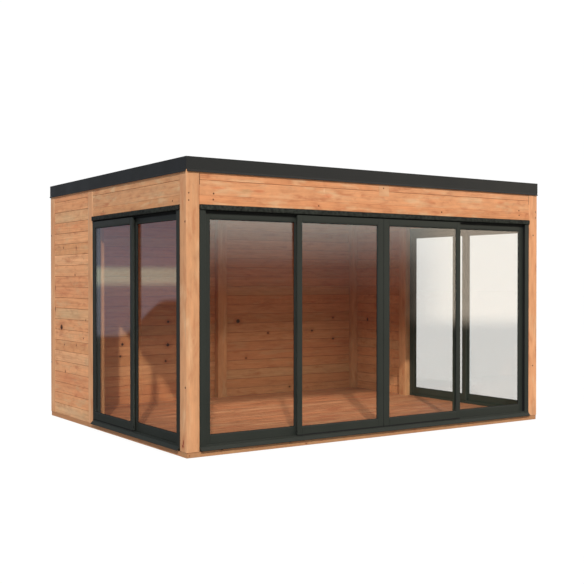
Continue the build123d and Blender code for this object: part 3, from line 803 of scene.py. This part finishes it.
# --------------------------------------------------------------------------
# Roof edge: folded sheet with a raised rim and a drip lip
# --------------------------------------------------------------------------
EDGE_SEC = [(46.0, 2422.0), (46.0, 2446.5), (44.0, 2448.6), (4.0, 2450.0), (-2.6, 2450.0), (-3.7, 2449.5), (-4.0, 2448.4),
            (-4.0, 2441.0), (-4.0, 2347.5), (-4.6, 2344.6), (-12.8, 2331.4), (-13.8, 2329.6), (-14.0, 2327.2), (-13.0, 2326.0),
            (-11.6, 2326.6), (-10.8, 2328.6), (-2.2, 2342.2), (-1.6, 2345.0), (-1.6, 2421.0), (-0.4, 2422.0)]


def edge_strip(b, side):
    """One side of the roof edge, mitred over the posts. The drip lip stops at the wall's ends."""
    verts, faces = [], []
    body = [q for q in EDGE_SEC if q[1] >= 2345.0 or q[0] > 0]
    lip = [(-4.0, 2347.5), (-4.6, 2344.6), (-12.8, 2331.4), (-13.8, 2329.6), (-14.0, 2327.2), (-13.0, 2326.0),
           (-11.6, 2326.6), (-10.8, 2328.6), (-2.2, 2342.2), (-1.6, 2345.0), (-1.6, 2347.5)]

    def place(t, s, z):
        # t inwards from this side's wall face, s along the wall
        if side == "front":
            return P(s, t, z)
        if side == "back":
            return P(s, D - t, z)
        if side == "left":
            return P(t, s, z)
        return P(W - t, s, z)

    length = W if side in ("front", "back") else D
    n_ = len(body)
    for end in (0, 1):
        for t, z in body:
            s = t + 0.15 if end == 0 else length - t - 0.15
            verts.append(place(t, s, z))
    for i in range(n_):
        j = (i + 1) % n_
        faces.append((i, j, n_ + j, n_ + i))
    faces.append(tuple(range(n_)))
    faces.append(tuple(n_ + i for i in reversed(range(n_))))
    # the top of the outer rim is painted darker: painted shade along the rim
    b.add(verts, faces, edge=[0.85 if t < 0 and z > 2446.0 else 0.0 for t, z in body] * 2)
    verts, faces = [], []
    n_ = len(lip)
    for end in (0, 1):
        for t, z in lip:
            s = 3.0 if end == 0 else length - 3.0
            verts.append(place(t, s, z))
    for i in range(n_):
        j = (i + 1) % n_
        faces.append((i, j, n_ + j, n_ + i))
    faces.append(tuple(range(n_)))
    faces.append(tuple(n_ + i for i in reversed(range(n_))))
    # the lip's underside and inner return are painted dark: painted shade under the drip lip
    b.add(verts, faces, edge=[1.0 if z < 2326.8 or t > -11.0 and z < 2330.0 else 0.0 for t, z in lip] * 2)


for side in ("front", "back", "left", "right"):
    b = Build()
    edge_strip(b, side)
    b.make("roof_edge_" + side, mat_edge, slot="edge_metal", replaces=["fascia_" + side])

# --------------------------------------------------------------------------
# Sliding door frames
# --------------------------------------------------------------------------
def arc(cx, cy, r, a0, a1, seg):
    return [(cx + r * math.cos(math.radians(a0 + (a1 - a0) * s / seg)),
             cy + r * math.sin(math.radians(a0 + (a1 - a0) * s / seg))) for s in range(seg + 1)]


# head flashing: a rounded nose run, its ends rounded too
def nose(b, axis, a0, a1, mat=0):
    """The proud, rounded head band from z 2021 to 2065."""
    out, back = -16.0, 24.0
    r = 6.0
    sec = ([(back, HEAD_Z0 + 0.6), (back, HEAD_Z1)] + arc(out + r, HEAD_Z1 - r, r, 90, 180, 4)
           + arc(out + r, HEAD_Z0 + r, r, 180, 270, 4))
    zc = (HEAD_Z0 + HEAD_Z1) / 2
    rings = []
    # the nose's top and bottom curves are painted darker as shade; the stations at both ends are made fully dark
    dark = [0.0, 0.0] + [1.0, 0.8, 0.35, 0.0, 0.0] + [0.0, 0.0, 0.4, 0.9, 1.0]
    ease = [(0.0, 0.62, 5.0), (1.2, 0.80, 2.6), (3.4, 0.93, 0.9), (7.0, 1.0, 0.0)]
    stations = [(a0 + s, k, o) for s, k, o in ease] + [(a1 - s, k, o) for s, k, o in reversed(ease)]
    i, j, k_ = AX[axis]
    verts, faces = [], []
    for s, k, o in stations:
        for p, q in sec:
            pp = p + (o if p < 0 else 0.0)
            qq = zc + (q - zc) * k
            c = [0.0] * 3
            c[i], c[j], c[k_] = s, pp, qq
            verts.append(P(*c))
    n_ = len(sec)
    for r_ in range(len(stations) - 1):
        for t in range(n_):
            u = (t + 1) % n_
            faces.append((r_ * n_ + t, r_ * n_ + u, (r_ + 1) * n_ + u, (r_ + 1) * n_ + t))
    faces.append(tuple(range(n_)))
    faces.append(tuple((len(stations) - 1) * n_ + t for t in reversed(range(n_))))
    m_ = len(stations)
    # groove values: painted shade on the nose's curves, fully dark at the end stations
    b.add(verts, faces, mat=mat, edge=[1.0 if r_ in (0, 1, m_ - 2, m_ - 1) else e for r_ in range(m_) for e in dark])


def sec_box(p0, p1, q0, q1, c=0.8):
    return [(p0 + c, q0), (p1 - c, q0), (p1, q0 + c), (p1, q1 - c), (p1 - c, q1), (p0 + c, q1), (p0, q1 - c), (p0, q0 + c)]


def head(b, axis, a0, a1):
    nose(b, axis, a0, a1, mat=1)
    # the rail behind the nose, with a channel over each track
    sec = [(24.2, 2021.0), (24.2, 2064.5), (54.0, 2064.5), (54.0, 2021.0), (52.0, 2021.0), (51.4, 2022.0), (51.4, 2040.0),
           (29.6, 2040.0), (29.6, 2022.0), (29.0, 2021.0)]
    run(b, axis, a0, a1, sec, mat=0)


def sill(b, axis, a0, a1, rib0=0.0, rib1=0.0):
    sec = [(54.0, 45.5), (54.0, 86.5), (52.8, 88.0), (48.0, 88.0), (47.0, 86.0), (34.0, 86.0), (33.0, 88.0), (20.0, 88.0),
           (19.0, 86.0), (1.5, 86.0), (0.5, 88.0), (-1.6, 88.0), (-3.0, 86.6), (-3.0, 80.6), (-4.4, 78.4), (-27.0, 57.0),
           (-28.0, 55.0), (-28.0, 51.4), (-27.0, 50.0), (-24.6, 50.0), (-23.6, 51.6), (-1.8, 69.0), (0.6, 69.0), (0.6, 45.5)]
    # the track channels are painted darker, their floors fully and their edges by half: painted shade in the channels
    low = [0.0] * len(sec)
    for i in (4, 5, 8, 9):
        low[i] = 1.0
    for i in (3, 6, 7, 10):
        low[i] = 0.5
    run(b, axis, a0, a1, sec, groove=low)
    for mid, top in ((7.5, 95.0), (40.5, 100.0)):
        r_ = [(mid - 3, 87.5), (mid - 3, top - 2.5), (mid - 2, top - 0.6), (mid - 0.8, top), (mid + 0.8, top),
              (mid + 2, top - 0.6), (mid + 3, top - 2.5), (mid + 3, 87.5)]
        run(b, axis, a0 + rib0, a1 - rib1, r_)


def cover_jamb(b, axis_sign, along0, axis="x"):
    """Jamb with its cover. along0 is the opening's edge; axis_sign says which way the opening lies."""
    s = axis_sign

    def pts(seq):
        out = []
        for a, t in seq:
            aa = along0 + s * a
            out.append((aa, t) if axis == "x" else (t, aa))
        return out

    sec = pts([(3.2, -1.6), (4.4, -3.0), (24.6, -3.0), (25.6, -2.0), (26.6, -3.0), (54.6, -3.0), (56.0, -1.6), (56.0, 24.0),
               (40.0, 24.0), (40.0, 54.0), (3.2, 54.0)])
    run(b, "z", 88.0, HEAD_Z0, sec, mat=0)


# front
b = Build()
head(b, "x", POST, W - POST)
b.make("front_head_rail", [mat_door, mat_head], slot="door_metal", replaces=["front_door_head"], smooth=30)
b = Build()
sill(b, "x", POST + 0.5, W - POST - 0.5, rib0=56.0, rib1=56.0)
b.make("front_sill_rail", mat_door, slot="door_metal", replaces=["front_door_sill"])
b = Build()
cover_jamb(b, 1, POST)
cover_jamb(b, -1, W - POST)
b.make("front_jamb_profiles", mat_door, slot="door_metal", replaces=["front_door_jambs"])

# sides: the right door is the left one turned half round
b = Build()
head(b, "y", POST, MID0)
b.turn(keep=True).make("side_head_rails", [mat_door, mat_head], slot="door_metal", replaces=["side_door_heads"], smooth=30)
b = Build()
sill(b, "y", POST + 0.5, MID0 - 0.5, rib0=56.0, rib1=56.0)
b.turn(keep=True).make("side_sill_rails", mat_door, slot="door_metal", replaces=["side_door_sills"])
b = Build()
cover_jamb(b, 1, POST, axis="y")
run(b, "z", 88.0, HEAD_Z0, [(-3.0, MID0 - 15.0), (24.0, MID0 - 15.0), (24.0, MID0 - 56.0), (54.0, MID0 - 56.0),
                            (54.0, MID0 - 2.4), (-3.0, MID0 - 2.4)])
b.turn(keep=True).make("side_jamb_profiles", mat_door, slot="door_metal", replaces=["side_door_jambs"])


# dark seal lines between the posts and the frames, black linings on the jambs' inner returns, and brushes in the head
# channels. These black strips are partly real seals and partly painted shade: they darken gaps and returns that lie in
# shade, and the head brushes hang low as painted shadow under the head.
def frame_seals(b, axis, a0, a1, thin_end):
    """Seals of one doorway. thin_end: the far jamb is the thin one."""
    def up(z0, z1, p0, p1, t0, t1, c):
        sec = sec_box(p0, p1, t0, t1, c)
        run(b, "z", z0, z1, sec if axis == "x" else [(t, p) for p, t in sec])

    ends = [(a0, 1)] + ([] if thin_end else [(a1, -1)])
    # black strips between post and jamb, and black linings on the jamb's returns: partly seals, partly painted shade
    # in these gaps
    for edge, sgn in ends:
        for o0, o1, t0, t1, z0, z1, c in ((0.2, 3.2, -1.6, 50.0, 88.0, HEAD_Z0, 0.6), (56.0, 57.6, 0.5, 24.0, 96.0, HEAD_Z0 - 9.0, 0.3),
                                          (40.0, 57.0, 24.2, 29.6, 96.0, HEAD_Z0 - 9.0, 0.3)):
            lo_, hi_ = sorted((edge + sgn * o0, edge + sgn * o1))
            up(z0, z1, lo_, hi_, t0, t1, c)
    if thin_end:
        up(88.0, HEAD_Z0, a1 - 2.4, a1 - 0.2, -1.6, 50.0, 0.6)
    # brushes in the head channels, hanging 14 mm below the head: partly painted shadow under the head
    run(b, axis, a0 + 57, a1 - 16, sec_box(19.5, 23.0, 2007.0, 2023.0, 0.5))
    run(b, axis, a0 + 41, a1 - 57, sec_box(51.4, 53.8, 2007.0, 2023.0, 0.5))


b = Build()
frame_seals(b, "x", POST, W - POST, False)
b.make("front_frame_seals", mat_seal)
b = Build()
frame_seals(b, "y", POST, MID0, True)
b.turn(keep=True).make("side_frame_seals", mat_seal)


# --------------------------------------------------------------------------
# Leaves
# --------------------------------------------------------------------------
def stile_sec(s):
    """Section of a stile or rail: u from its outer edge to the glass, depth from the leaf's face."""
    return [(0.0, 1.4), (1.4, 0.0), (s - 13.0, 0.0), (s - 12.3, 0.9), (s - 11.6, 0.3), (s - 1.2, 1.4), (s, 2.6),
            (s, 18.4), (s - 1.2, 19.6), (s - 11.6, 20.7), (s - 12.3, 20.1), (s - 13.0, 21.0), (1.4, 21.0), (0.0, 19.6)]


GROOVE = [0, 0, 0, 1, 0, 0, 0, 0, 0, 0, 1, 0, 0, 0]


def leaf(b, seals, axis, a0, a1, s0, s1, face):
    """One leaf. axis is the way it runs; face is its outer depth."""

    def pt(a, t):
        return (a, face + t) if axis == "x" else (face + t, a)

    # stiles
    sec = [pt(a0 + u, t) for u, t in stile_sec(s0)]
    run(b, "z", LEAF_Z0, LEAF_Z1, sec, groove=GROOVE)
    sec = [pt(a1 - u, t) for u, t in stile_sec(s1)]
    run(b, "z", LEAF_Z0, LEAF_Z1, sec, groove=GROOVE)
    # rails: the run section is (depth, z) for x and (w, z) for y
    for z_edge, sign, hgt in ((LEAF_Z0, 1, GLASS_Z0 - LEAF_Z0), (LEAF_Z1, -1, LEAF_Z1 - GLASS_Z1)):
        sec = [(face + t, z_edge + sign * u) for u, t in stile_sec(hgt)]
        run(b, axis, a0 + s0 - 0.3, a1 - s1 + 0.3, sec, groove=GROOVE)
    # brush under the bottom rail, just outside the track rib
    run(seals, axis, a0 + 2.0, a1 - 2.0, [(face + t, z) for t, z in sec_box(1.2, 5.0, 89.8, LEAF_Z0 + 0.6, 0.4)])
    # glazing gaskets, both faces of the pane
    g0, g1, z0, z1 = a0 + s0, a1 - s1, GLASS_Z0, GLASS_Z1
    for t_glass, t_out in ((7.5, 3.6), (13.5, 17.4)):
        sgn = 1.0 if t_out < t_glass else -1.0
        tri = [(0.0, t_glass), (4.2, t_glass), (3.4, t_glass - sgn * 1.8), (0.0, t_out)]
        for edge, d_ in ((g0, 1), (g1, -1)):
            run(seals, "z", z0, z1, [pt(edge + d_ * u, t) for u, t in tri])
        for edge, d_ in ((z0, 1), (z1, -1)):
            run(seals, axis, g0, g1, [(face + t, edge + d_ * u) for u, t in tri])


def make_leaf(name, body, specs, replaces, extra=None, turn=False):
    b, s = Build(), Build()
    for spec in specs:
        leaf(b, s, *spec)
    if extra:
        extra(s)
    if turn:
        b.turn()
        s.turn()
    b.make(name, mat_door, body=body, slot="door_metal", replaces=replaces)
    s.make(name + "_seals", mat_seal, body=body)


def brush(b, axis, a0, a1, face):
    """Brush strip on the inner face of a stile that passes another, and its end blocks."""
    for z0, z1, t0, t1, o in ((112.0, 2000.0, 21.0, 24.6, 14.0), (LEAF_Z0 + 1, 128.0, 21.0, 25.4, 0.0), (1988.0, LEAF_Z1 - 1, 21.0, 25.4, 0.0)):
        lo_, hi_ = face + t0, face + t1
        if axis == "x":
            run(b, "z", z0, z1, sec_box(a0 + o, a1 - o, lo_, hi_, 0.6))
        else:
            run(b, "z", z0, z1, sec_box(lo_, hi_, a0 + o, a1 - o, 0.6))


def plugs(b, axis, edge, sign, face):
    """Black end plugs on the side of a passing stile: low at the front, high at the back."""
    for z0, z1, t0, t1 in ((120.0, 139.0, 1.0, 13.0), (1930.0, 1958.0, 12.0, 20.5)):
        a0, a1 = sorted((edge, edge + sign * 2.2))
        lo_, hi_ = face + t0, face + t1
        if axis == "x":
            run(b, "z", z0, z1, sec_box(a0, a1, lo_, hi_, 0.5))
        else:
            run(b, "z", z0, z1, sec_box(lo_, hi_, a0, a1, 0.5))


def meet(b, w0, w1):
    run(b, "z", LEAF_Z0 + 2, LEAF_Z1 - 2, sec_box(w0, w1, OUTER + 2.0, OUTER + 18.0, 0.5))


# stile widths: passing and meeting stiles of the outer leaves, then those of the inner leaves
LOCK, FX0, FX1 = 1082.0, 165.0, 1136.0
SLOCK, SY0, SY1, SEND = 1028.0, 165.0, 1074.0, 1930.0
make_leaf("front_fixed_leaves", "house", [("x", FX0, FX1, 68.0, 60.0, INNER), ("x", W - FX1, W - FX0, 60.0, 68.0, INNER)],
          ["front_fixed_leaf_frames"])
make_leaf("front_left_leaf_frame", "front_left_leaf", [("x", LOCK, W / 2 - 2.5, 51.0, 68.0, OUTER)],
          ["front_left_sliding_frame"],
          extra=lambda s: (brush(s, "x", LOCK, LOCK + 51, OUTER), plugs(s, "x", LOCK, -1, OUTER),
                           meet(s, W / 2 - 2.5, W / 2 - 0.5)))
make_leaf("front_right_leaf_frame", "front_right_leaf", [("x", W / 2 + 2.5, W - LOCK, 68.0, 51.0, OUTER)],
          ["front_right_sliding_frame"],
          extra=lambda s: (brush(s, "x", W - LOCK - 51, W - LOCK, OUTER), plugs(s, "x", W - LOCK, 1, OUTER),
                           meet(s, W / 2 + 0.5, W / 2 + 2.5)))
for side in ("left", "right"):
    make_leaf(side + "_fixed_leaf", "house", [("y", SY0, SY1, 55.0, 60.0, INNER)], [side + "_fixed_leaf_frame"], turn=side == "right")
    make_leaf(side + "_door_leaf_frame", side + "_door_leaf", [("y", SLOCK, SEND, 57.0, 40.0, OUTER)],
              [side + "_sliding_frame"], turn=side == "right",
              extra=lambda s: (brush(s, "y", SLOCK, SLOCK + 57, OUTER), plugs(s, "y", SLOCK, -1, OUTER)))

# threshold strips in front of the fixed leaves, and black lips hanging from the head over the fixed leaves' tops; the
# lips are partly a seal and partly painted shadow, lengthening the dark band under the head
for z0, z1, what, mat in ((87.5, 106.0, "threshold_strips", mat_door), (1996.0, HEAD_Z0 + 0.5, "head_lips_and_shadow", mat_seal)):
    b = Build()
    for w0, w1 in ((POST + 57.8, FX1), (W - FX1, W - POST - 57.8)):
        run(b, "x", w0, w1, sec_box(27.6, 29.8, z0, z1, 0.4))
    b.make("front_" + what, mat)
    b = Build()
    run(b, "y", POST + 57.8, SY1, sec_box(27.6, 29.8, z0, z1, 0.4))
    b.turn(keep=True).make("side_" + what, mat)

for name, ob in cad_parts.items():
    if name.endswith("_glass"):
        ob.data.materials.clear()
        ob.data.materials.append(mat_glass)


# --------------------------------------------------------------------------
# Screws
# --------------------------------------------------------------------------
def screw(b, centre, normal, r=6.0):
    """Countersunk head, a little below the surface, with a dished rim and a cross recess."""
    nrm = Vector(normal)
    up = Vector((0, 0, 1)) if abs(nrm.z) < 0.5 else Vector((1, 0, 0))
    e1 = nrm.cross(up).normalized()
    e2 = nrm.cross(e1).normalized()
    c = Vector(P(*centre))
    k = 14
    rings = [(r + 1.1, 0.25), (r + 0.6, 0.30), (r, 0.05), (r * 0.45, 0.12), (r * 0.42, -1.2)]
    verts, faces = [], []
    for rad, h in rings:
        for s in range(k):
            t = 2 * math.pi * s / k
            rr = rad
            if rad <= r * 0.45:
                rr = rad * (0.55 + 0.45 * abs(math.cos(2 * t)))
            verts.append(tuple(c + (e1 * math.cos(t) + e2 * math.sin(t)) * rr / 1000.0 + nrm * (h / 1000.0)))
    for q_ in range(len(rings) - 1):
        for s in range(k):
            u = (s + 1) % k
            faces.append((q_ * k + s, q_ * k + u, (q_ + 1) * k + u, (q_ + 1) * k + s))
    faces.append(tuple((len(rings) - 1) * k + s for s in range(k)))
    back = len(verts)
    for s in range(k):
        t = 2 * math.pi * s / k
        verts.append(tuple(c + (e1 * math.cos(t) + e2 * math.sin(t)) * (r * 0.8) / 1000.0 - nrm * 0.003))
    for s in range(k):
        u = (s + 1) % k
        faces.append((u, s, back + s, back + u))
    faces.append(tuple(back + s for s in reversed(range(k))))
    b.add(verts, faces)


b = Build()
for w, z in ((21, 2154), (21, 2094), (W - 21, 2154), (W - 21, 2094), (4034, 1912), (4030, 562)):
    screw(b, (w, 0, z), (0, -1, 0), r=5.2 if z > 2000 else 6.5)
for w, z in ((252, 2158), (249, 2109), (1311, 2102), (2765, 2103), (3825, 2159), (3829, 2111)):
    screw(b, (w, 2, z), (0, -1, 0))
screw(b, (2044, 1.2, 2295), (0, -1, 0))
for flip in (0, 1):
    for d, z in ((26, 1922), (23, 574), (D - 26, 1922), (D - 23, 574)):
        screw(b, (W if flip else 0, d, z), (1 if flip else -1, 0, 0), r=8.0)
    for d, z in ((1700, 2102), (251, 2103)):
        screw(b, (W - 2 if flip else 2, d, z), (1 if flip else -1, 0, 0))
for w, z in ((21, 1912), (24, 562), (W - 21, 1912), (W - 24, 562)):
    screw(b, (w, D, z), (0, 1, 0))
b.make("timber_screws", mat_screw, smooth=40)

# --------------------------------------------------------------------------
# Camera
# --------------------------------------------------------------------------
cam_data = bpy.data.cameras.new("camera")
cam_data.sensor_width = 36.0
cam_data.lens = 980.82 / 584.0 * 36.0
cam_data.clip_start, cam_data.clip_end = 0.1, 400.0
cam = bpy.data.objects.new("camera", cam_data)
cam.location = (-5.7479, -8.6073, 1.4416)
cam.rotation_euler = (math.radians(90.0 - 0.6564), 0.0, math.radians(-33.8193))
bpy.context.scene.collection.objects.link(cam)
bpy.context.scene.camera = cam

# --------------------------------------------------------------------------
# Floor, light, sky
# --------------------------------------------------------------------------
me = bpy.data.meshes.new("studio_floor")
S = 90.0
me.from_pydata([(-S, -S, 0), (S, -S, 0), (S, S, 0), (-S, S, 0)], [], [(0, 1, 2, 3)])
fm, n = new_mat("pale_floor")
dif = n.n("ShaderNodeBsdfDiffuse")
dif.inputs[0].default_value = (0.22, 0.22, 0.22, 1.0)
em = n.n("ShaderNodeEmission")
em.inputs[0].default_value = (1.0, 1.0, 1.0, 1.0)
em.inputs[1].default_value = 0.84
ad = n.n("ShaderNodeAddShader")
n.link(dif.outputs[0], ad.inputs[0])
n.link(em.outputs[0], ad.inputs[1])
out = n.n("ShaderNodeOutputMaterial")
n.link(ad.outputs[0], out.inputs[0])
me.materials.append(fm)
floor = bpy.data.objects.new("studio_floor", me)
bpy.context.scene.collection.objects.link(floor)
floor.visible_glossy = False
floor.visible_diffuse = False

sun_data = bpy.data.lights.new("key_light", "SUN")
sun_data.energy = 2.62
sun_data.angle = math.radians(1.5)
sun_data.color = (1.0, 0.97, 0.93)
sun = bpy.data.objects.new("key_light", sun_data)
travel = Vector((0.5036 * math.cos(math.radians(33.2)), 0.8639 * math.cos(math.radians(33.2)), -math.sin(math.radians(33.2))))
sun.rotation_mode = "QUATERNION"
sun.rotation_quaternion = travel.to_track_quat("-Z", "Y")
bpy.context.scene.collection.objects.link(sun)

# a soft lamp under the roof evens out the room
lamp_data = bpy.data.lights.new("room_fill", "AREA")
lamp_data.shape = "RECTANGLE"
lamp_data.size, lamp_data.size_y = 3.6, 2.6
lamp_data.energy = 9.6
lamp_data.spread = math.radians(100)
lamp = bpy.data.objects.new("room_fill", lamp_data)
lamp.location = (0.0, 0.0, 2.26)
lamp.visible_camera = False
lamp.visible_glossy = False
lamp.visible_transmission = False
bpy.context.scene.collection.objects.link(lamp)
low_data = bpy.data.lights.new("room_fill_low", "AREA")
low_data.shape = "RECTANGLE"
low_data.size, low_data.size_y = 3.3, 2.3
low_data.energy = 22.0
low_data.spread = math.radians(165)
low = bpy.data.objects.new("room_fill_low", low_data)
low.location = (0.0, 0.0, 0.98)
low.visible_camera = False
low.visible_glossy = False
low.visible_transmission = False
bpy.context.scene.collection.objects.link(low)

world = bpy.data.worlds.new("studio")
bpy.context.scene.world = world
world.use_nodes = True
n = Nodes(world.node_tree)
tc = n.n("ShaderNodeTexCoord")
sp = n.n("ShaderNodeSeparateXYZ")
n.link(tc.outputs["Generated"], sp.inputs[0])
lp = n.n("ShaderNodeLightPath")
side = n.math("SUBTRACT", sp.outputs[0], sp.outputs[1])            # front right is +, back left is -
side = n.map(side, -1.2, 1.2, 0.0, 1.0, smooth=True)
up = n.map(sp.outputs[2], -0.12, 0.30, 0.0, 1.0)
# what glass and metal mirror
warm = n.ramp(up, [(0.0, (0.09, 0.115, 0.075)), (0.18, (0.065, 0.075, 0.055)), (0.25, (0.05, 0.05, 0.05)), (0.32, (0.25, 0.235, 0.22)),
                   (0.375, (0.85, 0.82, 0.75)), (0.43, (1.60, 1.66, 1.48)), (0.56, (1.35, 1.40, 1.32)), (1.0, (0.42, 0.45, 0.48))])
cool = n.ramp(up, [(0.0, (0.20, 0.20, 0.25)), (0.268, (0.31, 0.32, 0.38)), (0.286, (0.86, 0.88, 0.72)), (0.310, (0.86, 0.88, 0.70)),
                   (0.324, (0.33, 0.34, 0.42)), (0.56, (0.26, 0.30, 0.36)), (1.0, (0.16, 0.18, 0.21))])
# the land under the sky, nearer to the left of the side doors
rise = n.map(n.math("DIVIDE", sp.outputs[0], n.math("MAXIMUM", sp.outputs[1], 0.001)), -0.44, -0.50, 0.0, 0.085, smooth=True)
land = n.map(n.math("SUBTRACT", up, rise), 0.146, 0.162, 1.0, 0.0, smooth=True)
cool = n.mix(land, cool, (0.045, 0.05, 0.05))
# a tall soft panel out to the right of the front
bearing = n.math("DIVIDE", sp.outputs[0], n.math("MAXIMUM", n.math("MULTIPLY", sp.outputs[1], -1.0), 0.001))
panel = n.math("MULTIPLY", n.map(bearing, 0.84, 0.95, 0.0, 1.0, smooth=True), n.map(bearing, 1.6, 2.6, 1.0, 0.0, smooth=True))
panel = n.math("MULTIPLY", panel, n.math("LESS_THAN", sp.outputs[1], 0.0))
panel = n.math("MULTIPLY", panel, n.map(sp.outputs[2], -0.052, -0.030, 0.0, 1.0, smooth=True))
warm = n.mix(panel, warm, (2.05, 1.74, 1.38))
mirror = n.mix(side, cool, warm)
# what lights the matt surfaces: brightest round the horizon
band = n.ramp(n.map(sp.outputs[2], -1.0, 1.0, 0.0, 1.0), [(0.0, (0.24,) * 3), (0.28, (0.34,) * 3), (0.42, (0.78,) * 3), (0.62, (0.88,) * 3),
                                                       (0.78, (0.50,) * 3), (1.0, (0.36,) * 3)])
fill = n.mix(1.0, band, n.mix(side, (1.05, 1.07, 1.10), (0.915, 0.885, 0.84)), mode="MULTIPLY")
bg_fill, bg_mirror, bg_cam = n.n("ShaderNodeBackground"), n.n("ShaderNodeBackground"), n.n("ShaderNodeBackground")
n.link(fill, bg_fill.inputs[0])
n.link(mirror, bg_mirror.inputs[0])
bg_cam.inputs[0].default_value = (1.0, 1.0, 1.0, 1.0)
bg_fill.inputs[1].default_value = 0.80
bg_mirror.inputs[1].default_value = 1.0
bg_cam.inputs[1].default_value = 1.02
m1 = n.n("ShaderNodeMixShader")
n.link(lp.outputs["Is Glossy Ray"], m1.inputs[0])
n.link(bg_fill.outputs[0], m1.inputs[1])
n.link(bg_mirror.outputs[0], m1.inputs[2])
m2 = n.n("ShaderNodeMixShader")
n.link(lp.outputs["Is Camera Ray"], m2.inputs[0])
n.link(m1.outputs[0], m2.inputs[1])
n.link(bg_cam.outputs[0], m2.inputs[2])
wo = n.n("ShaderNodeOutputWorld")
n.link(m2.outputs[0], wo.inputs[0])

bpy.context.scene.view_settings.view_transform = "Standard"
bpy.context.scene.view_settings.look = "None"
